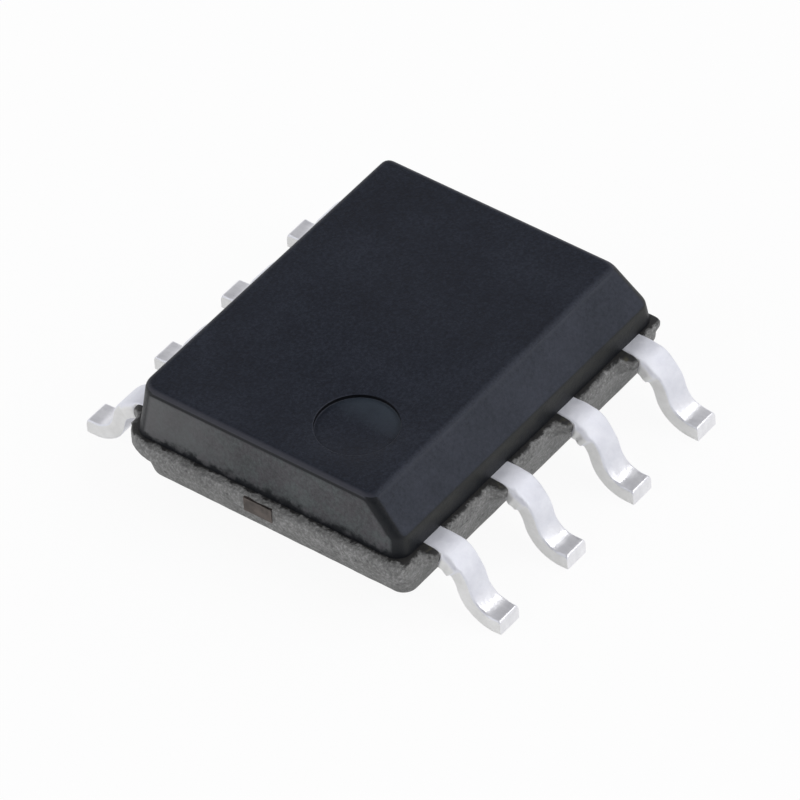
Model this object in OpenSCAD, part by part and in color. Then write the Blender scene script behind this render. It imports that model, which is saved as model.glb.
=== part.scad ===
// Eight-lead small-outline package (narrow body, 1.27 mm lead pitch) with gull-wing leads.
// Millimetres. X runs along the body, Z is up, and the board's surface is z = 0.
// Leads 1 to 4 run from -X to +X along the bevelled -Y side; 5 to 8 come back along the +Y side.

/* [Moulded body] */
// Length of the moulded body at the parting plane
body_len = 4.9; // [4.8:0.05:5.1]
// Width of the moulded body at the parting plane
body_wid = 3.9; // [3.8:0.05:4.1]
// Thickness of the moulded body
body_h = 1.44; // [1.34:0.02:1.6]
// Height of the body's underside above the board
standoff = 0.15; // [0.1:0.01:0.25]
// Height of the parting plane, where the two mould halves met, above the board
parting_z = 0.9; // [0.88:0.01:1]
// Draft of the upper half's walls, in degrees
draft = 8; // [4:1:9]
// Draft of the lower half's walls, in degrees
lower_draft = 14; // [8:1:15]
// How far the lower half stands out past the nominal ends where it meets the leadframe
lower_end = 0.01; // [0:0.01:0.05]
// How far the lower half stands out past the nominal long sides there
lower_side = 0.05; // [0:0.01:0.08]
// How far the upper half sits off the leads' centre line, towards the end beside lead 1
upper_shift = 0.035; // [0:0.005:0.05]
// Radius of the upper half's upright corners at the parting plane
corner_r = 0.2; // [0.18:0.01:0.3]
// Radius of the lower half's upright corners at its top
lower_r = 0.26; // [0.2:0.01:0.3]
// Radius along the body's top edges
edge_r = 0.1; // [0.03:0.01:0.1]
// Radius along the body's bottom edges
under_r = 0.11; // [0.05:0.01:0.12]
// Height and depth of the bevel that marks the side of lead 1
bevel = 0.42; // [0.25:0.01:0.5]

/* [Lead 1 dimple] */
// Diameter of the dimple beside lead 1
dimple_d = 1; // [0.6:0.05:1.1]
// Depth of the dimple at its middle
dimple_depth = 0.06; // [0.04:0.01:0.1]
// Height of the dimple's upright rim
dimple_rim = 0.025; // [0.01:0.005:0.035]
// Distance from the body's end to the dimple's centre
dimple_from_end = 1.03; // [0.9:0.01:1.3]
// Distance from the body's bevelled side to the dimple's centre
dimple_from_side = 1.39; // [1.3:0.01:1.6]

/* [Mould flash] */
// How far the flash at lead level stands out of the body's ends
flash_end = 0.17; // [0.08:0.01:0.2]
// How far the flash at lead level stands out of the body's long sides
flash_side = 0.09; // [0.03:0.01:0.15]
// Radius of the flash's corners
flash_r = 0.08; // [0.04:0.01:0.12]
// Width of the flash left round the tie bar at the end away from lead 1
flash_far = 1; // [0.8:0.1:2]
// How far the rest of the flash at that end falls short of the body's nominal end
flash_short = 0.02; // [0:0.01:0.03]
// Width of the flash left standing against each side of a lead
nub_w = 0.07; // [0.04:0.01:0.12]

/* [Leads] */
// Distance between neighbouring leads
pitch = 1.27; // [1.2:0.01:1.3]
// Width of a lead
lead_w = 0.35; // [0.31:0.01:0.45]
// Thickness of the leadframe metal
lead_t = 0.2; // [0.17:0.01:0.23]
// How far a lead reaches out of the body's side, to the tip of its toe
lead_reach = 1.05; // [1.02:0.01:1.15]
// Flat length of the shoulder between the body's side and the first bend
shoulder_l = 0.11; // [0.08:0.01:0.14]
// Inside radius of the bend at the shoulder
shoulder_r = 0.34; // [0.2:0.01:0.36]
// Inside radius of the bend above the foot
foot_r = 0.3; // [0.15:0.01:0.32]
// Slope of a lead between its two bends, in degrees below horizontal
lead_slope = 76; // [70:1:82]
// Radius that the cut rolled over the toe's top edge
toe_r = 0.06; // [0.02:0.01:0.1]
// Distance from the body's side to the cut dam bar
dam_gap = 0.25; // [0.2:0.01:0.3]
// Width of the dam bar's stubs, along the lead
dam_w = 0.18; // [0.1:0.01:0.22]
// How far the dam bar's stubs stand out of a lead's sides
dam_stub = 0.06; // [0.02:0.01:0.1]

/* [Leadframe inside the body] */
// Length of the die pad
pad_len = 2.9; // [2.4:0.05:3]
// Width of the die pad
pad_wid = 2.1; // [1.8:0.05:2.2]
// How far the die pad is set down below the leads
pad_drop = 0.2; // [0.12:0.01:0.24]
// Gap between the die pad and the tips of the inner leads
pad_gap = 0.2; // [0.15:0.01:0.25]
// Length of the wide bonding finger on each inner lead
finger_l = 0.42; // [0.36:0.01:0.5]
// How far a finger stands out past each side of its lead
finger_out = 0.11; // [0.05:0.01:0.16]
// How far an end finger stands out towards the middle of the package
finger_in = 0.28; // [0.2:0.01:0.34]
// Diameter of the resin lock hole in each end finger
lock_d = 0.18; // [0.12:0.01:0.22]
// Width of the tie bar at each end that held the pad in its frame
tie_w = 0.4; // [0.2:0.01:0.6]
// Length over which a tie bar climbs from the pad to lead level
tie_rise = 0.3; // [0.2:0.01:0.36]
// How far the cut tie bars stand proud of the flash
tie_proud = 0.01; // [0:0.005:0.03]

/* [Die and bond wires] */
// Length of the silicon die
die_len = 1.6; // [1.2:0.05:1.9]
// Width of the silicon die
die_wid = 1.3; // [1:0.05:1.6]
// Thickness of the silicon die
die_t = 0.28; // [0.2:0.01:0.32]
// Thickness of the adhesive under the die
attach_t = 0.02; // [0.01:0.005:0.04]
// How far the adhesive squeezes out round the die
attach_bleed = 0.06; // [0.02:0.01:0.1]
// Diameter of the bond wires
wire_d = 0.03; // [0.02:0.005:0.04]
// Height of a wire's loop over the straight line between its bonds
loop_h = 0.16; // [0.12:0.01:0.2]
// Diameter of the ball bond on the die
ball_d = 0.09; // [0.07:0.005:0.1]
// Height of the ball bond
ball_h = 0.025; // [0.02:0.005:0.03]
// Distance from the die's edge to the centre of its bond pads
bond_inset = 0.12; // [0.08:0.01:0.16]
// Distance from a finger's tip to the wire's stitch bond
stitch_inset = 0.1; // [0.08:0.01:0.14]

/* [Hidden] */

leads_per_side = 4;
arc_steps = 6;                             // facets along the roundings of the moulded body
far = 20;                                  // past every edge of the package, for cutting shapes
resin = [0.17, 0.18, 0.21];
tinned = [0.83, 0.84, 0.87];
copper = [0.80, 0.55, 0.40];
silicon = [0.45, 0.47, 0.52];
adhesive = [0.75, 0.75, 0.72];
gold = [0.95, 0.78, 0.35];

body_top = standoff + body_h;
frame_low = parting_z - lead_t;            // underside of the leadframe where it isn't set down
side_y = body_wid / 2;
end_x = body_len / 2;

// Lead profile, in u (outwards from the middle of the package) and z
bend_u = side_y + shoulder_l;
toe_u = side_y + lead_reach;
dam_u = side_y + dam_gap;
shoulder_mid = shoulder_r + lead_t / 2;
least_straight = 0.02;                     // always left between the two bends
bend_drop = frame_low - least_straight * sin(lead_slope);
foot_room = bend_drop / (1 - cos(lead_slope)) - shoulder_mid - lead_t / 2;
foot_bend = min(foot_r, foot_room);        // the foot's bend can't take more height than there is
foot_mid = foot_bend + lead_t / 2;
straight = (frame_low - (1 - cos(lead_slope)) * (shoulder_mid + foot_mid)) / sin(lead_slope);
knee_u = bend_u + shoulder_mid * sin(lead_slope) + straight * cos(lead_slope);
foot_u = knee_u + foot_mid * sin(lead_slope);

// Leadframe plan
tip_u = pad_wid / 2 + pad_gap;
pad_top = parting_z - pad_drop;
neck_u = tip_u + finger_l;

// Die stack
die_z = pad_top + attach_t;
die_top = die_z + die_t;

// Bond wire facets
wire_sides = 8;
wire_rings = 9;
stitch_l = 3.5 * wire_d;
stitch_w = 2.2 * wire_d;
stitch_t = 0.4 * wire_d;

// Side (-1 or 1), place along the row (0 to 3 from -X) and X of lead n, counted from 1
function side_of(n) = n <= leads_per_side ? -1 : 1;
function slot_of(n) = n <= leads_per_side ? n - 1 : 2 * leads_per_side - n;
function lead_x(n) = (slot_of(n) - (leads_per_side - 1) / 2) * pitch;
function is_end(n) = slot_of(n) == 0 || slot_of(n) == leads_per_side - 1;
function inward(n) = lead_x(n) > 0 ? -1 : 1;

// A pie slice between two angles less than 180 degrees apart
module sector(r, from, to) {
    mid = (from + to) / 2;
    intersection() {
        circle(r, $fn = 96);
        polygon([[0, 0], far * [cos(from), sin(from)], far * [cos(mid), sin(mid)], far * [cos(to), sin(to)]]);
    }
}

module rounded_rect(l, w, r) {
    square([l - 2 * r, w], center = true);
    square([l, w - 2 * r], center = true);
    for (x = [-1, 1], y = [-1, 1])
        translate([x * (l / 2 - r), y * (w / 2 - r)]) circle(r, $fn = 48);
}

// Points along a rounding about [u, z]
function arc(u, z, r, from, to) =
    [for (i = [0 : arc_steps])
        let (a = from + (to - from) * i / arc_steps)
        [u + r * cos(a), z + r * sin(a)]];

// The wished radius, as far as a corner has room for it when its walls have closed in by h
function fit_round(wish, h, r, slope) =
    min(wish, (r - h * tan(slope) - 0.01) / (1 / cos(slope) - tan(slope)));

// Side view of one mould half's wall, from the middle out: drafted, and rounded at its far edge
module wall_profile(reach, h, r, slope, wish) {
    e = fit_round(wish, h, r, slope);
    polygon(concat([[-reach, 0], [r, 0]],
                   arc(r - (h - e) * tan(slope) - e / cos(slope), h - e, e, slope, 90),
                   [[-reach, h]]));
}

// One mould half, h high above z = 0, half_x by half_y from its middle to its walls there, and r in
// its corners: two crossed bars and a quarter cone in each corner
module mould_half(h, half_x, half_y, r, slope, wish) {
    reach_x = half_x - r;
    reach_y = half_y - r;
    rotate([90, 0, 0])
        linear_extrude(height = 2 * reach_y, center = true)
            for (m = [0, 1]) mirror([m, 0]) translate([reach_x, 0]) wall_profile(reach_x, h, r, slope, wish);
    rotate([90, 0, 90])
        linear_extrude(height = 2 * reach_x, center = true)
            for (m = [0, 1]) mirror([m, 0]) translate([reach_y, 0]) wall_profile(reach_y, h, r, slope, wish);
    for (a = [0 : 3])
        translate([(a == 0 || a == 3 ? 1 : -1) * reach_x, (a < 2 ? 1 : -1) * reach_y, 0])
            rotate([0, 0, 90 * a])
                rotate_extrude(angle = 90, $fn = 128) wall_profile(0, h, r, slope, wish);
}

// The 45 degree bevel along the side of lead 1, as the wedge that it takes off the upper half
module bevel_cut() {
    wall_y = -side_y + (body_top - bevel - parting_z) * tan(draft);
    rotate([90, 0, 90])
        linear_extrude(height = far, center = true)
            polygon([[wall_y - 1, body_top - bevel - 1],
                     [wall_y + bevel + 1, body_top + 1],
                     [wall_y - 1, body_top + 1]]);
}

// A shallow dish with a short upright rim
module dimple() {
    dish = dimple_depth - dimple_rim;
    dish_r = (pow(dimple_d / 2, 2) + dish * dish) / (2 * dish);
    translate([-end_x + dimple_from_end, -side_y + dimple_from_side, body_top])
        intersection() {
            translate([0, 0, -dimple_depth]) cylinder(d = dimple_d, h = 2 * dimple_depth, $fn = 64);
            translate([0, 0, dish_r - dimple_depth]) sphere(r = dish_r, $fn = 96);
        }
}

// Side view of the flash left standing against a lead, rounded at its tip
module nub_profile() {
    r = lead_t / 2;
    polygon(concat([[side_y - lead_t, frame_low]], arc(dam_u - r, frame_low + r, r, -90, 90),
                   [[side_y - lead_t, parting_z]]));
}

// Resin squeezed out between the mould halves, as thick as the leadframe and open where the leads pass
module flash() {
    difference() {
        union() {
            translate([0, 0, frame_low])
                linear_extrude(height = lead_t) {
                    translate([-(flash_end + flash_short) / 2, 0])
                        rounded_rect(body_len + flash_end - flash_short, body_wid + 2 * flash_side, flash_r);
                    translate([0, -flash_far / 2]) square([end_x + flash_end, flash_far]);
                }
            for (n = [1 : 2 * leads_per_side])
                translate([lead_x(n), 0, 0])
                    rotate([90, 0, 90 * side_of(n)])
                        linear_extrude(height = lead_w + 2 * nub_w, center = true) nub_profile();
        }
        for (n = [1 : 2 * leads_per_side])
            translate([lead_x(n), side_of(n) * (side_y + far / 2), parting_z - lead_t / 2])
                cube([lead_w, far, 2 * lead_t], center = true);
    }
}

module body() {
    color(resin)
        difference() {
            union() {
                translate([-upper_shift, 0, parting_z])
                    mould_half(body_top - parting_z, end_x, side_y, corner_r, draft, edge_r);
                flash();
                translate([0, 0, frame_low])
                    mirror([0, 0, 1])
                        mould_half(frame_low - standoff, end_x + lower_end, side_y + lower_side, lower_r,
                                   lower_draft, under_r);
            }
            bevel_cut();
            dimple();
            for (n = [1 : 2 * leads_per_side]) {
                lead(n);
                bond_wire(n);
            }
            die_pad();
            die_attach();
            die();
        }
}

// A bend in metal t thick, r being its inside radius, between two angles
module bend(r, t, from, to) {
    difference() {
        sector(r + t, from, to);
        circle(r, $fn = 96);
    }
}

// Side view of the metal outside the body: shoulder, two bends, foot and rolled toe
module gull_wing() {
    difference() {
        union() {
            translate([side_y - lead_t, frame_low]) square([shoulder_l + lead_t, lead_t]);
            translate([bend_u, frame_low - shoulder_r]) bend(shoulder_r, lead_t, 90 - lead_slope, 90);
            translate([knee_u + foot_mid * sin(lead_slope), lead_t + foot_bend]) {
                rotate(-lead_slope) translate([-straight, -foot_bend - lead_t]) square([straight, lead_t]);
                bend(foot_bend, lead_t, 270 - lead_slope, 270);
            }
            translate([foot_u, 0]) square([toe_u - foot_u, lead_t]);
        }
        translate([toe_u - toe_r, lead_t - toe_r])
            difference() {
                square(2 * toe_r);
                circle(toe_r, $fn = 48);
            }
    }
}

// Plan of the metal inside the body: a neck, then a wide finger with chamfered shoulders
module inner_lead(n) {
    wide = lead_w / 2 + finger_out;
    inner = is_end(n) ? lead_w / 2 + finger_in : wide;
    chamfer = finger_out;
    difference() {
        polygon([[-lead_w / 2, side_y], [lead_w / 2, side_y], [lead_w / 2, neck_u + chamfer],
                 [inner, neck_u + chamfer - (inner - lead_w / 2)], [inner, tip_u], [-wide, tip_u],
                 [-wide, neck_u], [-lead_w / 2, neck_u + chamfer]]);
        if (is_end(n))
            translate([0, (tip_u + neck_u) / 2 + stitch_inset]) circle(d = lock_d, $fn = 32);
    }
}

module lead(n) {
    side = side_of(n);
    color(tinned)
        translate([lead_x(n), 0, 0]) {
            rotate([90, 0, 90 * side]) {
                linear_extrude(height = lead_w, center = true) gull_wing();
                linear_extrude(height = lead_w + 2 * dam_stub, center = true)
                    intersection() {
                        gull_wing();
                        translate([dam_u, 0]) square([dam_w, parting_z]);
                    }
            }
            translate([0, 0, frame_low])
                linear_extrude(height = lead_t)
                    scale([inward(n), side]) inner_lead(n);
        }
}

// Side view of one tie bar, from inside the pad to its cut end
module tie_profile() {
    pad_end = pad_len / 2;
    bend_x = pad_end + lead_t / 2;
    cut_x = end_x + flash_end + tie_proud;
    polygon([[pad_end - lead_t, pad_top - lead_t], [bend_x, pad_top - lead_t],
             [bend_x + tie_rise, frame_low], [cut_x, frame_low], [cut_x, parting_z],
             [bend_x + tie_rise - lead_t / 4, parting_z], [bend_x - lead_t / 4, pad_top],
             [pad_end - lead_t, pad_top]]);
}

module die_pad() {
    color(copper) {
        translate([-pad_len / 2, -pad_wid / 2, pad_top - lead_t]) cube([pad_len, pad_wid, lead_t]);
        for (end = [0, 180])
            rotate([0, 0, end])
                rotate([90, 0, 0]) linear_extrude(height = tie_w, center = true) tie_profile();
    }
}

module die_attach() {
    color(adhesive)
        translate([0, 0, pad_top])
            linear_extrude(height = attach_t)
                rounded_rect(die_len + 2 * attach_bleed, die_wid + 2 * attach_bleed, attach_bleed);
}

module die() {
    color(silicon)
        translate([-die_len / 2, -die_wid / 2, die_z]) cube([die_len, die_wid, die_t]);
}

// Where wire n leaves the die, and where it lands on its finger
function bond_at(n) =
    [(2 * slot_of(n) / (leads_per_side - 1) - 1) * (die_len / 2 - bond_inset),
     side_of(n) * (die_wid / 2 - bond_inset)];
function stitch_at(n) =
    [lead_x(n) + (is_end(n) ? inward(n) * finger_in : 0), side_of(n) * (tip_u + stitch_inset)];

// Height of a wire's middle at s, from 0 on the die to 1 on the finger
function wire_z(s) =
    (1 - s * s) * (die_top + ball_h / 2) + s * s * (parting_z + wire_d / 2) + loop_h * sin(180 * s);

// Ring i of a wire that runs d along the level unit vector h
function wire_ring(i, start, h, d) =
    let (s = i / (wire_rings - 1),
         step = 0.5 / (wire_rings - 1),
         before = max(0, s - step),
         after = min(1, s + step),
         climb = i == 0 ? 90
               : i == wire_rings - 1 ? 0
               : atan2(wire_z(after) - wire_z(before), d * (after * after - before * before)))
    [for (k = [0 : wire_sides - 1])
        let (a = 360 * (k + 0.5) / wire_sides,
             across = wire_d / 2 * sin(a),
             over = wire_d / 2 * cos(a))
        [start[0] + h[0] * (d * s * s - over * sin(climb)) - h[1] * across,
         start[1] + h[1] * (d * s * s - over * sin(climb)) + h[0] * across,
         wire_z(s) + over * cos(climb)]];

module bond_wire(n) {
    start = bond_at(n);
    run = stitch_at(n) - start;
    d = norm(run);
    h = run / d;
    last = wire_rings - 1;
    points = [for (i = [0 : last]) each wire_ring(i, start, h, d)];
    walls = [for (i = [0 : last - 1], k = [0 : wire_sides - 1])
                let (next = (k + 1) % wire_sides, a = i * wire_sides, b = a + wire_sides)
                each [[a + k, a + next, b + next], [a + k, b + next, b + k]]];
    caps = [[for (k = [0 : wire_sides - 1]) wire_sides - 1 - k],
            [for (k = [0 : wire_sides - 1]) last * wire_sides + k]];
    color(gold) {
        translate([start[0], start[1], die_top]) cylinder(d = ball_d, h = ball_h, $fn = 12);
        polyhedron(points = points, faces = concat(walls, caps));
        translate([stitch_at(n)[0], stitch_at(n)[1], parting_z])
            rotate([0, 0, atan2(h[1], h[0])])
                translate([-stitch_l / 2, -stitch_w / 2, 0]) cube([stitch_l, stitch_w, stitch_t]);
    }
}

body();
lead(1);  // lead_1
lead(2);  // lead_2
lead(3);  // lead_3
lead(4);  // lead_4
lead(5);  // lead_5
lead(6);  // lead_6
lead(7);  // lead_7
lead(8);  // lead_8
die_pad();
die_attach();
die();
bond_wire(1);  // bond_wire_1
bond_wire(2);  // bond_wire_2
bond_wire(3);  // bond_wire_3
bond_wire(4);  // bond_wire_4
bond_wire(5);  // bond_wire_5
bond_wire(6);  // bond_wire_6
bond_wire(7);  // bond_wire_7
bond_wire(8);  // bond_wire_8
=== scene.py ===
"""An eight-lead small-outline chip, dressed over its CAD frame.

The moulded body and the eight leads replace their CAD nodes by finer meshes of the same form. The pieces
sealed inside keep their CAD meshes and get materials. Sizes are in millimetres, and become metres in
make_object.
+X runs along the body from lead 1 to lead 4, and the bevelled side faces -Y.
"""
import math
import random

import bmesh
import bpy
from mathutils import Matrix, Vector
from mathutils.geometry import delaunay_2d_cdt

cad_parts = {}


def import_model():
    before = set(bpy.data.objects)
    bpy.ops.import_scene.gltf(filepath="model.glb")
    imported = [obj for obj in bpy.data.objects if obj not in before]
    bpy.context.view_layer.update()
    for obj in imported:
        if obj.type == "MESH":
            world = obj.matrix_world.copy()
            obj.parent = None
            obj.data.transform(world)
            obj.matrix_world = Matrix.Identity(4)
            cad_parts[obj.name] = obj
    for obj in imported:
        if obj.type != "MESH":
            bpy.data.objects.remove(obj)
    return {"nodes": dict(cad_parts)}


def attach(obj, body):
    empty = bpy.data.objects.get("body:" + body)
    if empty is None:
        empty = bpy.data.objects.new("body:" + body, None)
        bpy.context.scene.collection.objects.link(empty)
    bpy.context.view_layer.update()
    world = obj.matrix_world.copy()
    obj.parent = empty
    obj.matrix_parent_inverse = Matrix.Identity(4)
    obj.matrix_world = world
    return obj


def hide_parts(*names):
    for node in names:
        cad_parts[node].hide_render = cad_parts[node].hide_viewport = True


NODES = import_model()["nodes"]
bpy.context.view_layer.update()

MM = 0.001
rng = random.Random(8)

# ---------------------------------------------------------------- sizes, in millimetres
# The body and its leads, with the same values as the part's source
BODY_LEN, BODY_WID, BODY_TOP = 4.9, 3.9, 1.59
STANDOFF, PARTING = 0.15, 0.9
LEAD_W, LEAD_T, PITCH = 0.35, 0.2, 1.27
END_X, SIDE_Y = BODY_LEN / 2, BODY_WID / 2
FRAME_LOW = PARTING - LEAD_T
DRAFT, LOWER_DRAFT = math.radians(8), math.radians(14)
LOWER_END, LOWER_SIDE, UPPER_SHIFT = 0.01, 0.05, 0.035
CORNER_R, EDGE_R, UNDER_R = 0.2, 0.1, 0.11
BEVEL = 0.42
BEVEL_Z = BODY_TOP - BEVEL
BEVEL_TOP_R = 0.2
# The flash at lead level, which is whole at -X and stands only in the middle at +X
FLASH_END, FLASH_SIDE, FLASH_SHORT = 0.17, 0.09, 0.02
FLASH_FAR = 0.5
FLASH_CORNER_R, FLASH_BROKEN_R = 0.08, 0.22
NUB_REACH, NUB_W = 0.25, 0.07
TIE_COVER = 0.004
# The ejector pin's mark: a round dish inside an upright rim
DIMPLE = (-END_X + 0.94, -SIDE_Y + 1.32)
DIMPLE_R, DIMPLE_RIM, DIMPLE_DEPTH = 0.5, 0.05, 0.085

# The leads. Distances along a lead are measured from the middle of the body and start with U
SHOULDER_R, FOOT_R, TOE_R = 0.34, 0.3, 0.035
SLOPE = math.radians(76)
U_BEND, U_TOE = SIDE_Y + 0.11, SIDE_Y + 1.05
U_DAM, DAM_W = SIDE_Y + 0.25, 0.18
U_TIP, FINGER_L, FINGER_OUT, FINGER_IN = 1.25, 0.42, 0.11, 0.28
LEADS = [(slot - 1.5) * PITCH for slot in range(4)]


# ---------------------------------------------------------------- seeded value noise
def lattice(seed, i, j, k):
    n = (i * 374761393 + j * 668265263 + k * 2147483647 + seed * 1274126177) & 0xFFFFFFFF
    n = ((n ^ (n >> 13)) * 1274126177) & 0xFFFFFFFF
    return ((n ^ (n >> 16)) & 0xFFFF) / 32767.5 - 1.0


def noise(x, y=0.0, z=0.0, seed=0):
    """Smooth noise from -1 to 1, one bump per unit."""
    i, j, k = math.floor(x), math.floor(y), math.floor(z)
    f, g, h = x - i, y - j, z - k
    f, g, h = f * f * (3 - 2 * f), g * g * (3 - 2 * g), h * h * (3 - 2 * h)
    total = 0.0
    for a, wa in ((0, 1 - f), (1, f)):
        for b, wb in ((0, 1 - g), (1, g)):
            for c, wc in ((0, 1 - h), (1, h)):
                total += wa * wb * wc * lattice(seed, i + a, j + b, k + c)
    return total


def ramp_up(a, b, t):
    """0 at a, 1 at b, straight between."""
    return min(1.0, max(0.0, (t - a) / (b - a)))


def smooth(a, b, t):
    """0 at a, 1 at b, with soft ends."""
    t = ramp_up(a, b, t)
    return t * t * (3 - 2 * t)


def soft_min(a, b, k):
    """The lesser of two values, blended where they come within k of each other."""
    h = max(k - abs(a - b), 0.0) / k
    return min(a, b) - h * h * k / 4


# ---------------------------------------------------------------- mesh helpers
def make_object(name, shell, materials, smooth_angle):
    """A linked object from a shell in millimetres, shaded flat across edges sharper than smooth_angle."""
    mesh = bpy.data.meshes.new(name)
    mesh.from_pydata([(x * MM, y * MM, z * MM) for x, y, z in shell.verts], [], shell.faces)
    for m in materials:
        mesh.materials.append(m)
    for poly, index in zip(mesh.polygons, shell.mats):
        poly.material_index = index
    obj = bpy.data.objects.new(name, mesh)
    bpy.context.scene.collection.objects.link(obj)
    mesh.validate()
    bm = bmesh.new()
    bm.from_mesh(mesh)
    bmesh.ops.recalc_face_normals(bm, faces=bm.faces)
    limit = math.radians(smooth_angle)
    for f in bm.faces:
        f.smooth = True
    for e in bm.edges:
        if len(e.link_faces) == 2 and e.calc_face_angle(0.0) > limit:
            e.smooth = False
    bm.to_mesh(mesh)
    bm.free()
    return obj


class Shell:
    """Rings of equal length joined into one closed surface."""

    def __init__(self):
        self.verts, self.faces, self.mats = [], [], []

    def ring(self, points):
        start = len(self.verts)
        self.verts.extend(points)
        return list(range(start, start + len(points)))

    def bridge(self, a, b, mat=0):
        n = len(a)
        for i in range(n):
            j = (i + 1) % n
            self.face((a[i], a[j], b[j], b[i]), mat)

    def face(self, ids, mat=0):
        self.faces.append(tuple(ids))
        self.mats.append(mat)

    def cap(self, loops, mat=0):
        """Fill the flat region inside the first loop and outside the others."""
        ids = [i for loop in loops for i in loop]
        coords = [Vector(self.verts[i][:2]) for i in ids]
        edges, offset = [], 0
        for loop in loops:
            n = len(loop)
            edges += [(offset + i, offset + (i + 1) % n) for i in range(n)]
            offset += n
        _, _, out, origin, _, _ = delaunay_2d_cdt(coords, edges, [], 0, 1e-7)
        outer, *holes = [[self.verts[i][:2] for i in loop] for loop in loops]
        for tri in out:
            real = [ids[origin[v][0]] for v in tri]
            cx = sum(self.verts[v][0] for v in real) / 3
            cy = sum(self.verts[v][1] for v in real) / 3
            if in_loop(cx, cy, outer) and not any(in_loop(cx, cy, hole) for hole in holes):
                self.face(real, mat)


def in_loop(x, y, loop):
    inside, n = False, len(loop)
    for i in range(n):
        (x0, y0), (x1, y1) = loop[i], loop[(i + 1) % n]
        if (y0 > y) != (y1 > y) and x < (x1 - x0) * (y - y0) / (y1 - y0) + x0:
            inside = not inside
    return inside


# ---------------------------------------------------------------- material helpers
class Nodes:
    """A Principled material whose patterns follow the object's own coordinates."""

    def __init__(self, name, color, rough, metallic=0.0, spec=0.5):
        self.mat = bpy.data.materials.new(name)
        self.mat.use_nodes = True
        self.mat.diffuse_color = (*color, 1)
        self.tree = self.mat.node_tree
        self.bsdf = self.tree.nodes["Principled BSDF"]
        self.bsdf.inputs["Base Color"].default_value = (*color, 1)
        self.bsdf.inputs["Roughness"].default_value = rough
        self.bsdf.inputs["Metallic"].default_value = metallic
        self.bsdf.inputs["Specular IOR Level"].default_value = spec
        self.coord = self.tree.nodes.new("ShaderNodeTexCoord").outputs["Object"]

    def node(self, kind, **values):
        n = self.tree.nodes.new(kind)
        for key, value in values.items():
            setattr(n, key, value)
        return n

    def link(self, a, b):
        self.tree.links.new(a, b)

    def stretched(self, scale):
        """Coordinates in which a pattern is drawn out along the axes with a small scale."""
        m = self.node("ShaderNodeMapping")
        m.inputs["Scale"].default_value = scale
        self.link(self.coord, m.inputs["Vector"])
        return m.outputs["Vector"]

    def noise(self, per_mm, detail, rough, vector=None):
        n = self.node("ShaderNodeTexNoise")
        n.inputs["Scale"].default_value = per_mm * 1000
        n.inputs["Detail"].default_value = detail
        n.inputs["Roughness"].default_value = rough
        self.link(vector or self.coord, n.inputs["Vector"])
        return n.outputs["Fac"]

    def cells(self, per_mm):
        n = self.node("ShaderNodeTexVoronoi", feature="F1")
        n.inputs["Scale"].default_value = per_mm * 1000
        self.link(self.coord, n.inputs["Vector"])
        return n.outputs["Distance"]

    def ramp(self, fac, *stops):
        """stops are (place, colour or grey level)."""
        n = self.node("ShaderNodeValToRGB")
        elements = n.color_ramp.elements
        while len(elements) < len(stops):
            elements.new(0.5)
        for e, (at, value) in zip(elements, stops):
            e.position = at
            e.color = (*value, 1) if isinstance(value, tuple) else (value, value, value, 1)
        self.link(fac, n.inputs["Fac"])
        return n.outputs["Color"]

    def math(self, op, a, b=0.0):
        n = self.node("ShaderNodeMath", operation=op)
        for socket, value in zip(n.inputs, (a, b)):
            if isinstance(value, (int, float)):
                socket.default_value = value
            else:
                self.link(value, socket)
        return n.outputs["Value"]

    def mix(self, fac, a, b, blend="MIX"):
        n = self.node("ShaderNodeMix", data_type="RGBA", blend_type=blend)
        for name, value in (("Factor_Float", fac), ("A_Color", a), ("B_Color", b)):
            socket = next(s for s in n.inputs if s.identifier == name)
            if isinstance(value, tuple):
                socket.default_value = (*value, 1)
            elif isinstance(value, (int, float)):
                socket.default_value = value
            else:
                self.link(value, socket)
        return next(s for s in n.outputs if s.identifier == "Result_Color")

    def span(self, fac, low, high, from_low=0.0, from_high=1.0):
        """low where fac is from_low or less, high where it is from_high or more, straight between."""
        n = self.node("ShaderNodeMapRange")
        limits = {"From Min": from_low, "From Max": from_high, "To Min": low, "To Max": high}
        for name, value in limits.items():
            n.inputs[name].default_value = value
        self.link(fac, n.inputs["Value"])
        return n.outputs["Result"]

    def vary(self, pattern, low, high):
        """A noise keeps mostly between 0.3 and 0.7, which become low and high."""
        return self.span(pattern, low, high, 0.3, 0.7)

    def after(self, place, start, end):
        """A mask that is 0 up to start and 1 from end on, both in millimetres."""
        return self.span(place, 0, 1, start * MM, end * MM)

    def before(self, place, start, end):
        """A mask that is 1 up to start and 0 from end on, both in millimetres."""
        return self.span(place, 1, 0, start * MM, end * MM)

    def off_centre(self, name):
        """How far the point lies from the middle along an axis, either way."""
        return self.math("ABSOLUTE", self.axis(name))

    def times(self, *factors):
        product = factors[0]
        for factor in factors[1:]:
            product = self.math("MULTIPLY", product, factor)
        return product

    def blend(self, a, b, share):
        """A share of a and the rest of b."""
        return self.math("ADD", self.math("MULTIPLY", a, share), self.math("MULTIPLY", b, 1 - share))

    def axis(self, name):
        n = self.node("ShaderNodeSeparateXYZ")
        self.link(self.coord, n.inputs["Vector"])
        return n.outputs[name]

    def facing(self, direction, both_ways=False):
        """How far the surface faces a fixed direction, from -1 (or 0 with both_ways) to 1."""
        n = self.node("ShaderNodeVectorMath", operation="DOT_PRODUCT")
        n.inputs[1].default_value = direction
        self.link(self.node("ShaderNodeNewGeometry").outputs["Normal"], n.inputs[0])
        if both_ways:
            return self.math("ABSOLUTE", n.outputs["Value"])
        return n.outputs["Value"]

    def faces(self, direction, start, end, both_ways=False):
        """A mask that is 0 where facing is start or less and 1 where it is end or more."""
        return self.span(self.facing(direction, both_ways), 0, 1, start, end)

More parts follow.
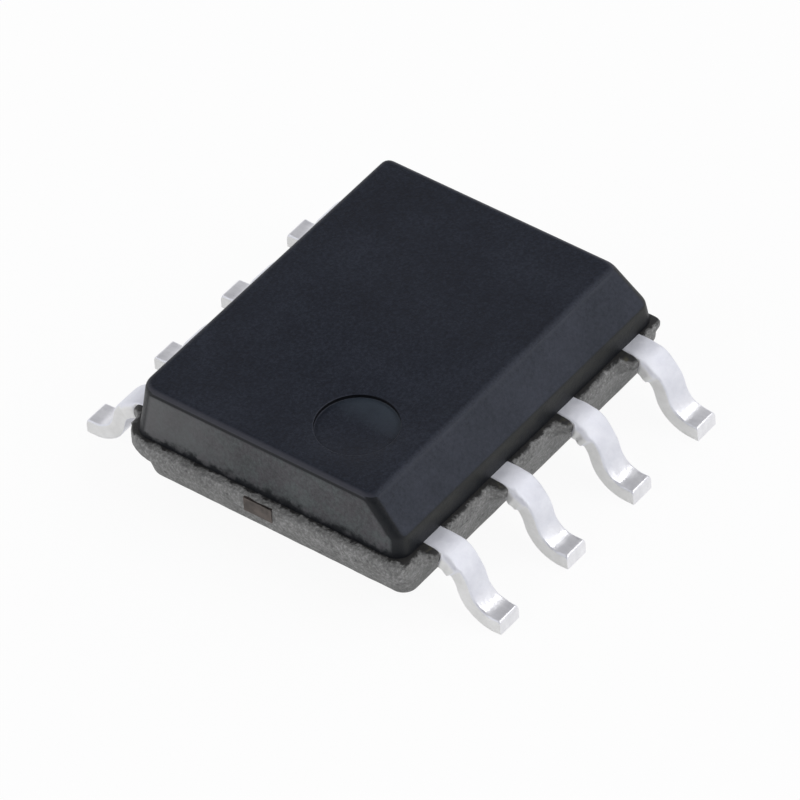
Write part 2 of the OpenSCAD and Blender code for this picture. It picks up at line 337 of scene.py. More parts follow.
    def turned_from(self, direction, start, end, both_ways=False):
        """A mask that is 1 where facing is start or less and 0 where it is end or more."""
        return self.span(self.facing(direction, both_ways), 1, 0, start, end)

    def set(self, name, value):
        self.link(value, self.bsdf.inputs[name])

    def bump(self, *layers):
        """layers are (height, depth in mm)."""
        last = None
        for height, depth in layers:
            n = self.node("ShaderNodeBump")
            n.inputs["Strength"].default_value = 1.0
            n.inputs["Distance"].default_value = depth * MM
            self.link(height, n.inputs["Height"])
            if last:
                self.link(last, n.inputs["Normal"])
            last = n.outputs["Normal"]
        self.set("Normal", last)


# ---------------------------------------------------------------- materials
END_WAY, SIDE_WAY, UP = (1, 0, 0), (0, 1, 0), (0, 0, 1)
BEVEL_WAY, CREST_WAY = (0, -0.707, 0.707), (0, -0.454, 0.891)
# Painted highlights, in colours that resin_top and resin_wall share where they meet: over the bevel and at
# the ends
CREST_HIGHLIGHT = ((0.36, (0.014, 0.018, 0.029)), (0.64, (0.034, 0.039, 0.056)))
# Painted highlight on the rounded top edges at the ends
LIP_HIGHLIGHT = (0.037, 0.038, 0.050)


def resin_top():
    """Nearly black; painted highlights on its edges, a painted reflection in the dish, painted shade on its
    rim.
    """
    m = Nodes("resin_top", (0.006, 0.010, 0.020), 0.5, spec=0.24)
    cloud = m.noise(1.1, 4, 0.6)
    grain = m.noise(26, 3, 0.8)
    speck = m.blend(cloud, grain, 0.3)
    color = m.ramp(speck, (0.38, (0.0005, 0.002, 0.008)), (0.50, (0.005, 0.008, 0.017)),
                   (0.62, (0.014, 0.018, 0.030)))
    # Painted highlight on the rounding that turns down to the bevel
    color = m.mix(m.faces((0, -1, 0), 0.10, 0.45), color, m.ramp(speck, *CREST_HIGHLIGHT))

    dish_z = (BODY_TOP - DIMPLE_RIM, BODY_TOP - DIMPLE_RIM * 0.7)
    # Painted highlight on the roundings at the two ends
    rounded_end = m.span(m.facing(END_WAY, both_ways=True), 0, 0.9, 0.16, 0.50)
    near_end = m.after(m.off_centre("X"), END_X - 0.25, END_X - 0.22)
    color = m.mix(m.times(m.after(m.axis("Z"), *dish_z), rounded_end, near_end), color, LIP_HIGHLIGHT)

    # Painted reflection: the floor of the dish is lighter and bluer towards +X
    wavy_x = m.math("ADD", m.axis("X"), m.vary(cloud, -0.12 * MM, 0.12 * MM))
    burnish_and_sheen = m.after(wavy_x, DIMPLE[0] + 0.05, DIMPLE[0] + 0.42)
    color = m.mix(m.times(m.before(m.axis("Z"), *dish_z), burnish_and_sheen), color, (0.028, 0.038, 0.052))
    # Painted shade: the dimple's upright rim is nearly black
    rim_shade = m.turned_from(UP, 0.25, 0.7)
    m.set("Base Color", m.mix(rim_shade, color, (0.0005, 0.001, 0.003)))
    m.set("Roughness", m.vary(grain, 0.42, 0.60))
    m.bump((m.noise(0.9, 2, 0.5), 0.006), (grain, 0.0040), (m.noise(60, 2, 0.6), 0.0012))
    return m.mat


def resin_wall():
    """The end walls are pale and mottled, the bevel blue, and the rounded edges between them dark with
    painted shade.
    """
    m = Nodes("resin_wall", (0.03, 0.034, 0.038), 0.5, spec=0.3)
    cloud = m.noise(1.3, 4, 0.6)
    blotch = m.noise(5.5, 4, 0.7)
    grain = m.noise(20, 4, 0.8)
    speck = m.blend(cloud, grain, 0.4)

    # Painted shade on the rounded edges between the facets, used again at the foot of the wall
    edge = m.ramp(speck, (0.34, (0.0005, 0.001, 0.003)), (0.66, (0.006, 0.008, 0.011)))
    bevel = m.ramp(speck, (0.38, (0.006, 0.010, 0.020)), (0.62, (0.028, 0.033, 0.050)))
    # Painted shade: the long sides are darker than the ends
    side = m.ramp(speck, (0.36, (0.004, 0.005, 0.005)), (0.64, (0.022, 0.023, 0.021)))
    end = m.ramp(speck, (0.38, (0.030, 0.034, 0.036)), (0.62, (0.090, 0.101, 0.104)))
    violet = m.ramp(speck, (0.38, (0.030, 0.027, 0.032)), (0.62, (0.086, 0.082, 0.090)))
    end = m.mix(m.span(blotch, 0, 0.8, 0.42, 0.58), end, violet)
    paler = m.span(m.axis("Y"), 0, 0.55, 0.2 * MM, 1.6 * MM)
    end = m.mix(paler, end, (0.135, 0.136, 0.138))

    color = m.mix(m.faces(BEVEL_WAY, 0.93, 0.99), edge, bevel)
    # Painted highlight on the rounding above the bevel
    color = m.mix(m.faces(CREST_WAY, 0.955, 0.99), color, m.ramp(speck, *CREST_HIGHLIGHT))
    # Painted highlight on the rounding between each end and the top
    lip_highlight = m.times(m.faces(END_WAY, 0.35, 0.55, both_ways=True),
                  m.turned_from(END_WAY, 0.74, 0.84, both_ways=True),
                  m.turned_from(SIDE_WAY, 0.08, 0.2, both_ways=True))
    is_side = m.faces(SIDE_WAY, 0.85, 0.97, both_ways=True)
    color = m.mix(is_side, m.mix(lip_highlight, color, LIP_HIGHLIGHT), side)
    color = m.mix(m.faces(END_WAY, 0.93, 0.985, both_ways=True), color, end)

    # Painted shade at the foot of the wall above the flash, reaching higher on the long sides
    ragged_z = m.math("ADD", m.axis("Z"), m.span(blotch, -0.055 * MM, 0.055 * MM, 0.35, 0.65))
    parting_shade = m.before(ragged_z, PARTING + 0.045, PARTING + 0.11)
    side_parting_shade = m.times(is_side, m.before(ragged_z, PARTING + 0.08, PARTING + 0.21))
    m.set("Base Color", m.mix(m.math("MAXIMUM", parting_shade, side_parting_shade), color, edge))
    m.set("Roughness", m.vary(grain, 0.38, 0.56))
    m.bump((cloud, 0.010), (grain, 0.0060), (m.noise(48, 2, 0.6), 0.0018))
    return m.mat


def resin_flash():
    """The flash and the lower half: coarse and speckled, with painted shade beside the walls and on the nubs.
    """
    m = Nodes("resin_flash", (0.10, 0.102, 0.10), 0.6, spec=0.5)
    cloud = m.noise(3.0, 3, 0.6)
    grain = m.noise(24, 4, 0.8)
    speck = m.blend(cloud, grain, 0.25)
    pits = m.ramp(m.cells(7), (0.08, 0.3), (0.18, 1.0))
    flank = m.ramp(speck, (0.36, (0.085, 0.086, 0.085)), (0.50, (0.175, 0.176, 0.172)),
                   (0.64, (0.34, 0.34, 0.335)))
    flank = m.mix(0.7, flank, pits, "MULTIPLY")

    wobble = m.vary(m.noise(8, 4, 0.7), -0.045 * MM, 0.045 * MM)
    past_end = m.math("SUBTRACT", m.off_centre("X"), END_X * MM)
    past_side = m.math("SUBTRACT", m.off_centre("Y"), SIDE_Y * MM)
    by_wall = m.before(m.math("ADD", m.math("MAXIMUM", past_end, past_side), wobble), 0.045, 0.085)
    # The leads lie at the middle of each pitch, and the nubs on their -X side
    turn = m.math("DIVIDE", m.math("ADD", m.axis("X"), wobble), PITCH * MM)
    slot = m.math("FRACT", turn)
    nub = m.times(m.span(slot, 0, 1, 0.25, 0.29), m.span(slot, 1, 0, 0.60, 0.64))
    # Painted shade on the upward faces beside the walls and on the nubs, mottled brown further out from the
    # sides
    dark = m.ramp(speck, (0.34, (0.002, 0.002, 0.003)), (0.58, (0.012, 0.012, 0.011)),
                  (0.72, (0.075, 0.074, 0.064)))
    brown_shade = m.ramp(m.noise(9, 3, 0.6), (0.50, (0.006, 0.006, 0.006)), (0.68, (0.060, 0.056, 0.036)))
    dark = m.mix(m.after(past_side, 0.08, 0.13), dark, brown_shade)
    shade = m.times(m.math("MAXIMUM", by_wall, nub), m.faces(UP, 0.35, 0.75))
    m.set("Base Color", m.mix(shade, flank, dark))
    m.set("Roughness", m.vary(grain, 0.5, 0.75))
    m.bump((cloud, 0.010), (grain, 0.008), (m.noise(50, 2, 0.6), 0.003))
    return m.mat


def tin():
    """Matte tin on the shoulder, burnished by the forming tool towards the foot."""
    m = Nodes("tinned_metal", (0.72, 0.725, 0.77), 0.45, metallic=0.6)
    mottle = m.noise(4, 4, 0.65)
    drag = m.noise(9, 3, 0.6, m.stretched((1.0, 0.25, 0.25)))
    uneven_z = m.math("ADD", m.axis("Z"), m.span(drag, -0.06 * MM, 0.06 * MM))
    burnish_and_sheen = m.times(m.before(uneven_z, 0.24, 0.40), m.turned_from(END_WAY, 0.25, 0.60, both_ways=True))
    matte = m.ramp(mottle, (0.3, (0.72, 0.73, 0.79)), (0.7, (0.84, 0.85, 0.90)))
    worn = m.ramp(m.blend(mottle, drag, 0.5), (0.3, (0.68, 0.68, 0.71)), (0.7, (0.90, 0.90, 0.92)))
    sheared = m.ramp(mottle, (0.3, (0.72, 0.72, 0.71)), (0.7, (0.86, 0.86, 0.855)))
    color = m.mix(burnish_and_sheen, matte, worn)
    m.set("Base Color", m.mix(m.faces(END_WAY, 0.75, 0.95, both_ways=True), color, sheared))
    m.set("Metallic", m.span(burnish_and_sheen, 0.40, 0.90))
    m.set("Roughness", m.math("ADD", m.span(burnish_and_sheen, 0.48, 0.33), m.vary(mottle, -0.06, 0.08)))
    m.bump((mottle, 0.008), (drag, 0.004), (m.noise(24, 4, 0.7), 0.0018))
    return m.mat


def copper():
    """The leadframe's metal, dull where the cut tie bars show at the body's ends."""
    m = Nodes("leadframe_metal", (0.55, 0.36, 0.27), 0.45, metallic=1.0)
    patch = m.noise(6, 4, 0.6)
    bare = m.ramp(patch, (0.3, (0.55, 0.32, 0.22)), (0.7, (0.74, 0.48, 0.36)))
    dull = m.ramp(patch, (0.35, (0.06, 0.052, 0.048)), (0.65, (0.14, 0.12, 0.11)))
    m.set("Base Color", m.mix(m.after(m.off_centre("X"), END_X + 0.02, END_X + 0.04), bare, dull))
    m.set("Roughness", m.vary(patch, 0.35, 0.6))
    m.bump((m.noise(18, 3, 0.6, m.stretched((0.15, 1, 1))), 0.003))
    return m.mat


def silver_glue():
    m = Nodes("adhesive_silver", (0.6, 0.6, 0.57), 0.5, metallic=0.6)
    flake = m.cells(30)
    m.set("Base Color", m.ramp(flake, (0.1, (0.75, 0.75, 0.72)), (0.7, (0.45, 0.45, 0.42))))
    m.set("Roughness", m.span(flake, 0.35, 0.7))
    m.bump((flake, 0.004))
    return m.mat


def silicon():
    m = Nodes("silicon_die", (0.20, 0.21, 0.24), 0.25, metallic=0.7)
    grind = m.noise(30, 2, 0.5, m.stretched((0.1, 1, 1)))
    m.set("Base Color", m.ramp(grind, (0.3, (0.15, 0.16, 0.19)), (0.7, (0.27, 0.28, 0.31))))
    m.set("Roughness", m.span(grind, 0.12, 0.35))
    m.bump((grind, 0.001))
    return m.mat


def gold():
    m = Nodes("bonding_gold", (0.95, 0.69, 0.30), 0.25, metallic=1.0)
    drawn = m.noise(60, 2, 0.5)
    m.set("Base Color", m.ramp(drawn, (0.3, (0.90, 0.62, 0.24)), (0.7, (0.98, 0.75, 0.36))))
    m.set("Roughness", m.span(drawn, 0.16, 0.34))
    m.bump((drawn, 0.0005))
    return m.mat


# ---------------------------------------------------------------- the moulded body
# Every ring of the body has the same columns, along four straight sides and around four corners. The straight
# sides reach this far from the middle at the parting plane.
STRAIGHT_X = 2.20
STRAIGHT_Y = SIDE_Y - 0.25
FLASH_STRAIGHT_Y = 1.5
CORNER_STEPS = 20
QUADRANT = {"se": (1, -1), "ne": (1, 1), "nw": (-1, 1), "sw": (-1, -1)}
# How far a nub runs out along its side, and how far the flash goes into the wall behind a lead
NUB_FLARE, SLOT_DEPTH = 0.16, 0.05
# How far the lower half spreads at its top edge
SIDE_SPREAD, END_SPREAD = 0.026, 0.13
# How widely soft_min blends the front wall into the bevel
BEVEL_BLEND = 0.03
# Material slots of the body
TOP, WALL, FLASH = 0, 1, 2


def spread(low, high, step, keep):
    """Values from low to high about a step apart, with each kept value among them."""
    count = max(1, round((high - low) / step))
    values = [low + (high - low) * i / count for i in range(count + 1)]
    values = [v for v in values if all(abs(v - k) > step * 0.3 for k in keep)]
    return sorted(set(values) | {k for k in keep if low <= k <= high})


def lead_edges():
    """Places along X where the flash turns: at each lead's slot, at the nub and along the nub's flare."""
    slot = LEAD_W / 2
    nub = slot + NUB_W
    turns = (slot - 0.012, slot + 0.001, slot + 0.008, slot + 0.035, nub - 0.008, nub + 0.004, nub + 0.02,
             nub + 0.045, nub + 0.08, nub + 0.12)
    places = [lx + way * turn for lx in LEADS for way in (-1, 1) for turn in turns]
    return [x for x in places if abs(x) <= STRAIGHT_X]


def flash_steps():
    """Places along Y where the broken flash of the +X end starts and stops."""
    return [way * (FLASH_FAR + d) * STRAIGHT_Y / FLASH_STRAIGHT_Y
            for way in (-1, 1) for d in (-0.02, -0.01, 0.0, 0.01, 0.02)]


def list_columns():
    """(side, place along it) or (corner, share of its turn), anticlockwise from the (-X, -Y) corner."""
    along_x = spread(-STRAIGHT_X, STRAIGHT_X, 0.03, lead_edges())
    along_y = spread(-STRAIGHT_Y, STRAIGHT_Y, 0.035, flash_steps())
    places = {"front": along_x, "right": along_y, "back": along_x[::-1], "left": along_y[::-1]}
    columns = []
    for side, corner in (("front", "se"), ("right", "ne"), ("back", "nw"), ("left", "sw")):
        columns += [(side, place) for place in places[side]]
        columns += [(corner, i / CORNER_STEPS) for i in range(1, CORNER_STEPS)]
    return columns


COLUMNS = list_columns()


def corner_point(t, half_x, half_y, in_x, in_y, rx, ry):
    """A point at share t from the side along X to the end along Y, in the first quadrant."""
    run_x, run_y = half_x - rx - in_x, half_y - ry - in_y
    turn = math.pi / 2 * (rx + ry) / 2
    at = t * (run_x + turn + run_y)
    if at < run_x:
        return in_x + at, half_y
    if at > run_x + turn:
        return half_x, half_y - ry - (at - run_x - turn)
    a = (at - run_x) / turn * math.pi / 2
    return half_x - rx + rx * math.sin(a), half_y - ry + ry * math.cos(a)


def outline(left, right, front, back, corner, in_x, in_y, **corners):
    """One point for each column.

    left, right, front and back are distances from the middle, in_x and in_y half the straight sides, and
    corner a radius. corners gives single corners their own two radii.
    """
    points = []
    for kind, at in COLUMNS:
        if kind == "front":
            points.append((at * in_x / STRAIGHT_X, -front))
        elif kind == "back":
            points.append((at * in_x / STRAIGHT_X, back))
        elif kind == "right":
            points.append((right, at * in_y / STRAIGHT_Y))
        elif kind == "left":
            points.append((-left, at * in_y / STRAIGHT_Y))
        else:
            sx, sy = QUADRANT[kind]
            rx, ry = corners.get(kind, (corner, corner))
            t = at if kind in ("se", "nw") else 1 - at
            x, y = corner_point(t, right if sx > 0 else left, back if sy > 0 else front, in_x, in_y, rx, ry)
            points.append((sx * x, sy * y))
    return points


def trim_reach(x, side, inset, ragged, nub_tip):
    """How far the flash stands off a long side at x: into the wall at a lead, and most at the trim's nubs."""
    offset = min((x - lx for lx in LEADS), key=abs)
    past_lead = abs(offset) - LEAD_W / 2
    if past_lead < 0:
        return -SLOT_DEPTH
    reach = FLASH_SIDE - inset + ragged
    if side < 0 and offset > 0:
        # The tool cut right up to the lead here
        return reach
    nub = nub_tip + 0.012 * noise(x * 3.1, side * 5, 0, 3) + ragged * 0.6 - inset * 0.3
    nub -= 0.012 * smooth(NUB_W - 0.03, NUB_W, past_lead)
    past_nub = past_lead - NUB_W
    if past_nub <= 0:
        return max(reach, nub)
    if past_nub < NUB_FLARE:
        return reach + max(0.0, nub - reach) * (1 - past_nub / NUB_FLARE) ** 2.6
    return reach


def flash_ring(z, inset):
    """The flash at lead level, with its nubs, drawn in by inset at its rounded edges."""
    r = LEAD_T / 2
    nub_tip = NUB_REACH - r + math.sqrt(max(0.0, r * r - (z - PARTING + r) ** 2))
    broken = FLASH_CORNER_R + (FLASH_BROKEN_R - FLASH_CORNER_R) * smooth(0.85, 0.79, z)
    side = SIDE_Y + FLASH_SIDE - inset
    base = outline(END_X + FLASH_END - inset, END_X - FLASH_SHORT - inset, side, side, FLASH_CORNER_R,
                   STRAIGHT_X, FLASH_STRAIGHT_Y, nw=(0.34, 0.50), se=(broken, broken * 1.3))
    points = []
    for (kind, _), (x, y) in zip(COLUMNS, base):
        ragged = 0.010 * noise(x * 7, y * 7, z * 5, 1) + 0.006 * noise(x * 22, y * 22, z * 14, 2)
        along_side = kind in ("ne", "nw", "sw") and abs(x) < END_X - FLASH_CORNER_R
        if kind in ("front", "back") or along_side:
            way = -1 if y < 0 else 1
            y = way * (SIDE_Y + trim_reach(x, way, inset, ragged, nub_tip))
        elif kind == "right":
            whole = 1 - smooth(FLASH_FAR - 0.02, FLASH_FAR + 0.02, abs(y))
            x += (FLASH_END + FLASH_SHORT) * whole + ragged * 0.6
        elif kind == "left":
            x -= ragged
        else:
            sx, sy = QUADRANT[kind]
            x += sx * ragged * 0.5
            y += sy * ragged * 0.5
        # The ledge's top covers the tie bars at the ends
        cover = TIE_COVER if kind in ("right", "left") and z > PARTING - 0.02 else 0.0
        points.append((x, y, z + cover))
    return points


def drafted(rise, height, draft, edge_r):
    """How far a wall has drawn in at a rise, from its draft and then from the rounding at its far edge."""
    if rise <= height - edge_r + edge_r * math.sin(draft):
        return rise * math.tan(draft)
    centre = (height - edge_r) * math.tan(draft) + edge_r / math.cos(draft)
    return centre - math.sqrt(max(0.0, edge_r ** 2 - (rise - height + edge_r) ** 2))


def lower_ring(z):
    """The lower half, which flares into the flash at its top and is rounded at the bottom."""
    depth = FRAME_LOW - z
    inset = drafted(depth, FRAME_LOW - STANDOFF, LOWER_DRAFT, UNDER_R)
    settle = smooth(0.0, 0.25, depth)
    in_x, in_y = STRAIGHT_X - 0.16 * settle, STRAIGHT_Y - 0.12 * settle - 0.16
    corner = max(0.08, (0.16 + 0.10 * settle) - inset * 0.6)
    end, side = END_X + LOWER_END - inset, SIDE_Y + LOWER_SIDE - inset
    side += SIDE_SPREAD * (1 - smooth(0.0, 0.12, depth))
    flared = 1 - smooth(-0.02, 0.17, depth)
    nw = (corner + 0.16 * flared, corner + 0.26 * flared)
    se = (min(corner + 0.10, 0.25), corner + 0.14)
    points = []
    for x, y in outline(end + END_SPREAD * flared, end, side, side, corner, in_x, in_y, nw=nw, se=se):
        k = 1 + 0.0016 * noise(x * 4, y * 4, z * 4, 5) + 0.0008 * noise(x * 13, y * 13, z * 13, 6)
        points.append((x * k, y * k, z))
    return points


def bevel_line(z):
    """Where the bevel and the rounding above it stand in front of the middle at a height."""
    low_y = SIDE_Y - (BEVEL_Z - PARTING) * math.tan(DRAFT)
    r = BEVEL_TOP_R
    if z <= BODY_TOP - r + r * math.sqrt(0.5):
        return low_y - (z - BEVEL_Z)
    centre = low_y - BEVEL - (math.sqrt(2) - 1) * r
    return centre + math.sqrt(max(0.0, r * r - (z - BODY_TOP + r) ** 2))


def upper_ring(z, within=0.0):
    """The upper half, drafted, bevelled along -Y and rounded to the top. within draws a ring further in."""
    height = BODY_TOP - PARTING
    inset = drafted(z - PARTING, height, DRAFT, EDGE_R)
    front = soft_min(SIDE_Y - inset, bevel_line(z), BEVEL_BLEND) - within
    corner = max(0.035, CORNER_R - inset * 0.95)
    over_edge = 0.7 * max(0.0, inset - (height - EDGE_R) * math.tan(DRAFT))
    on_bevel = smooth(BEVEL_Z - 0.06, BEVEL_Z + 0.10, z)
    bevel_corner = (max(0.04, 0.14 - over_edge), max(0.05, 0.19 - over_edge))
    front_corner = tuple(corner * (1 - on_bevel) + r * on_bevel for r in bevel_corner)
    far_corner = (min(corner + 0.12, 0.27), min(corner + 0.12, 0.235))

    drawn_in = 0.10 * smooth(PARTING, PARTING + 0.3, z) + 0.06 * smooth(BODY_TOP - 2 * EDGE_R, BODY_TOP, z)
    in_x = STRAIGHT_X - drawn_in - within * 0.5
    in_y = min(STRAIGHT_Y - drawn_in, front - front_corner[1] - 0.01)
    half = END_X - inset - within
    ring = outline(half + UPPER_SHIFT, half - UPPER_SHIFT, front, SIDE_Y - inset - within, corner, in_x, in_y,
                   se=front_corner, sw=front_corner, nw=far_corner)
    return [(x, y, z) for x, y in ring]


def body_rings():
    """(points, material) for each ring, from the underside to the top."""
    rings = [([(x * 0.985, y * 0.985, z) for x, y, z in lower_ring(STANDOFF)], FLASH)]
    rings.append((lower_ring(STANDOFF), FLASH))
    for i in range(1, 9):
        a = math.radians(90 - (90 - 14) * i / 8)
        rings.append((lower_ring(STANDOFF + UNDER_R * (1 - math.sin(a))), FLASH))
    for z in (0.29, 0.34, 0.39, 0.44, 0.49, 0.54, 0.58, 0.62, 0.65, 0.68, FRAME_LOW):
        rings.append((lower_ring(z), FLASH))

    for z, inset in ((FRAME_LOW, 0.014), (0.708, 0.005), (0.722, 0.0), (0.75, 0.0), (0.78, 0.0), (0.81, 0.0),
                     (0.84, 0.0), (0.865, 0.002), (0.882, 0.007), (0.893, 0.015), (PARTING, 0.028)):
        rings.append((flash_ring(z, inset), FLASH))

    rings.append((upper_ring(PARTING), FLASH))
    for z in (0.915, 0.94, 0.97, 1.0, 1.04, 1.08, 1.12, 1.145, 1.16, 1.17, 1.18, 1.195, 1.22, 1.25, 1.29,
              1.33, 1.37, 1.41, 1.45, 1.485):
        rings.append((upper_ring(z), WALL))
    steps = 14
    for i in range(1, steps):
        a = math.radians(8 + (90 - 8) * i / steps)
        rings.append((upper_ring(BODY_TOP - EDGE_R + EDGE_R * math.sin(a)), WALL if i < steps / 2 else TOP))
    rings.append((upper_ring(BODY_TOP), TOP))
    rings.append((upper_ring(BODY_TOP, 0.03), TOP))
    return rings


def sink_dimple(shell, edge):
    """Fill the top between its edge and the dimple, and the dimple itself: lip, upright rim and dish."""
    cx, cy = DIMPLE
    count = 144

    def circle(r, below):
        turns = [2 * math.pi * i / count for i in range(count)]
        return shell.ring([(cx + r * math.cos(a), cy + r * math.sin(a), BODY_TOP - below) for a in turns])

    last = circle(DIMPLE_R + 0.012, 0.0)
    shell.cap([edge, last], TOP)
    steps = [(DIMPLE_R + 0.005, 0.0015), (DIMPLE_R + 0.001, 0.006), (DIMPLE_R, 0.012),
             (DIMPLE_R - 0.0005, DIMPLE_RIM - 0.004), (DIMPLE_R - 0.003, DIMPLE_RIM + 0.003),
             (DIMPLE_R - 0.010, DIMPLE_RIM + 0.006)]
    dish = DIMPLE_DEPTH - DIMPLE_RIM
    for share in (0.93, 0.85, 0.75, 0.62, 0.48, 0.33, 0.18):
        steps.append((DIMPLE_R * share, DIMPLE_DEPTH - dish * share ** 2))
    for r, below in steps:
        ring = circle(r, below)
        shell.bridge(last, ring, TOP)
        last = ring
    centre = shell.ring([(cx, cy, BODY_TOP - DIMPLE_DEPTH)])[0]
    for i in range(count):
        shell.face((last[i], last[(i + 1) % count], centre), TOP)


def build_body():
    shell = Shell()
    rings = [(shell.ring(points), material) for points, material in body_rings()]
    for (low, _), (high, material) in zip(rings, rings[1:]):
        shell.bridge(low, high, material)
    shell.cap([rings[0][0]], FLASH)
    sink_dimple(shell, rings[-1][0])
    obj = make_object("moulded_body", shell, [resin_top(), resin_wall(), resin_flash()], 50)
    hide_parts("body")
    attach(obj, "root")


# ---------------------------------------------------------------- the leads
BURR_R = 0.014
# Places along a lead before its bend
LEVEL_RUN = (1.25, 1.262, 1.38, 1.50, 1.59, 1.67, 1.725, 1.78, 1.86, 1.93, 1.96, 2.0, 2.03)


def lead_path(toe):
    """Stations (u, z, angle below level) along the middle of the metal, from bonding finger to toe."""
    mid = LEAD_T / 2
    bend, foot = SHOULDER_R + mid, FOOT_R + mid
    run = (FRAME_LOW - (1 - math.cos(SLOPE)) * (bend + foot)) / math.sin(SLOPE)
    stations = [(u, PARTING - mid, 0.0) for u in LEVEL_RUN]
    for i in range(25):
        a = SLOPE * i / 24
        stations.append((U_BEND + bend * math.sin(a), PARTING - mid - bend * (1 - math.cos(a)), a))
    u, z, _ = stations[-1]
    knee_u, knee_z = u + run * math.cos(SLOPE), z - run * math.sin(SLOPE)
    stations.append(((u + knee_u) / 2, (z + knee_z) / 2, SLOPE))
    for i in range(21):
        a = SLOPE * (1 - i / 20)
        stations.append((knee_u + foot * (math.sin(SLOPE) - math.sin(a)),
                         knee_z - foot * (math.cos(a) - math.cos(SLOPE)), a))
    u = stations[-1][0]
    stations += [(u + (toe - u) * share, mid, 0.0) for share in (0.25, 0.45)]
    for i in range(7):
        stations.append((toe - TOE_R * (1 - math.sin(math.pi / 2 * i / 6)), mid, 0.0))
    return stations


def half_width(u, extra):
    """Half a lead's width on one side, where the finger is wider by extra and narrows at 45 degrees."""
    narrow = U_TIP + FINGER_L + FINGER_OUT
    return LEAD_W / 2 + extra * (1 - ramp_up(narrow - extra, narrow, u))


def on_dam(u, rise, fall):
    """1 where the dam bar was cut off, with soft edges given as distances past the place where it starts."""
    past = u - U_DAM
    return smooth(*rise, past) * (1 - smooth(*fall, past))


def section(top, left, right, roll_left, roll_right):
    """Points (v, m) around the metal: rolled edges on top, a tight burr below. m is up from its middle."""
    low = BURR_R - LEAD_T / 2
    corners = ((right - roll_right, top - roll_right, roll_right, 0),
               (-left + roll_left, top - roll_left, roll_left, 90),
               (-left + BURR_R, low, BURR_R, 180), (right - BURR_R, low, BURR_R, 270))
    points = []
    for v, m, r, start in corners:
        for i in range(7):
            b = math.radians(start + 90 * i / 6)
            points.append((v + r * math.cos(b), m + r * math.sin(b)))
    return points


def build_lead(n):
    side, slot = (-1, n - 1) if n <= 4 else (1, 8 - n)
    lx = LEADS[slot]
    # The outer leads have wider fingers towards the middle of the row
    towards_middle = FINGER_IN if slot in (0, 3) else FINGER_OUT
    extra_left, extra_right = (towards_middle, FINGER_OUT) if lx > 0 else (FINGER_OUT, towards_middle)
    toe = U_TOE + rng.uniform(-0.008, 0.0)
    stub_left, stub_right = rng.uniform(0.038, 0.052), rng.uniform(0.012, 0.024)
    shell = Shell()
    loops = []
    for u, z, a in lead_path(toe):
        left, right = half_width(u, extra_left), half_width(u, extra_right)
        cut = on_dam(u, (-0.012, 0.012), (DAM_W - 0.012, DAM_W + 0.012))
        if u > SIDE_Y:
            left += cut * stub_left * (1 + 0.25 * noise(u * 18, n * 1.9, 7, 14))
            left += 0.004 * noise(u * 9, n * 3.7, 0, 11)
            right += on_dam(u, (-0.05, 0.06), (DAM_W - 0.08, DAM_W + 0.05)) * stub_right
            right += 0.004 * noise(u * 9, n * 5.1, 4, 12)
        top = LEAD_T / 2
        if u > toe - TOE_R:
            top += math.sqrt(max(0.0, TOE_R ** 2 - (u - toe + TOE_R) ** 2)) - TOE_R
        most = (top + LEAD_T / 2) / 2.2
        roll_right = min(0.030 + 0.012 * noise(u * 6, n, 3, 15), most)
        roll_left = min(0.034 + 0.055 * cut + 0.014 * noise(u * 8, n, 5, 16), most)
        ring = []
        for v, m in section(top, left, right, roll_left, roll_right):
            if u > SIDE_Y + 0.03 and z > 0.13:
                m += 0.0025 * noise(u * 7, v * 6, n * 2.3, 13)
            ring.append((lx + v, side * (u + m * math.sin(a)), max(0.0, z + m * math.cos(a))))
        loops.append(shell.ring(ring))
    for near, far in zip(loops, loops[1:]):
        shell.bridge(near, far)
    shell.face(loops[0])
    shell.face(loops[-1])
    obj = make_object(f"gull_wing_lead_{n}", shell, [TIN], 45)
    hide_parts(f"lead_{n}")
    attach(obj, "root")


# ---------------------------------------------------------------- floor, light and camera
FLOOR_R, FLOOR_SIDES = 0.6, 64
# How much of the floor's brightness, as seen by the camera and in reflections, is its own glow
FLOOR_GLOW = 0.93
# The camera: direction and roll in degrees, distance and target in millimetres
AZIMUTH, ELEVATION, ROLL = -49.847, 43.394, -4.405
DISTANCE, LENS = 105.3, 411.3
LOOK_AT, SHIFT_RIGHT, SHIFT_UP = (0, 0, 0.8), 0.0353, -0.2554


def aim(azimuth, elevation):
    """A direction: azimuth from +X towards +Y and elevation from level, in degrees."""
    az, el = math.radians(azimuth), math.radians(elevation)
    return Vector((math.cos(az) * math.cos(el), math.sin(az) * math.cos(el), math.sin(el)))


# From the chip to the camera, whose azimuth counts from -Y
TOWARDS = aim(AZIMUTH - 90, ELEVATION)


def add_node(tree, kind, **values):
    node = tree.nodes.new(kind)
    for key, value in values.items():
        setattr(node, key, value)
    return node


def mix_shaders(tree, share, a, b):
    """A mix of shader a and a share of shader b."""
    mixer = add_node(tree, "ShaderNodeMixShader")
    for source, socket in zip((share, a, b), mixer.inputs):
        tree.links.new(source, socket)
    return mixer.outputs[0]


def glow(tree, kind):
    """A plain white shader that shines at strength 1."""
    node = add_node(tree, kind)
    node.inputs["Color"].default_value = (1, 1, 1, 1)
    node.inputs["Strength"].default_value = 1.0
    return node


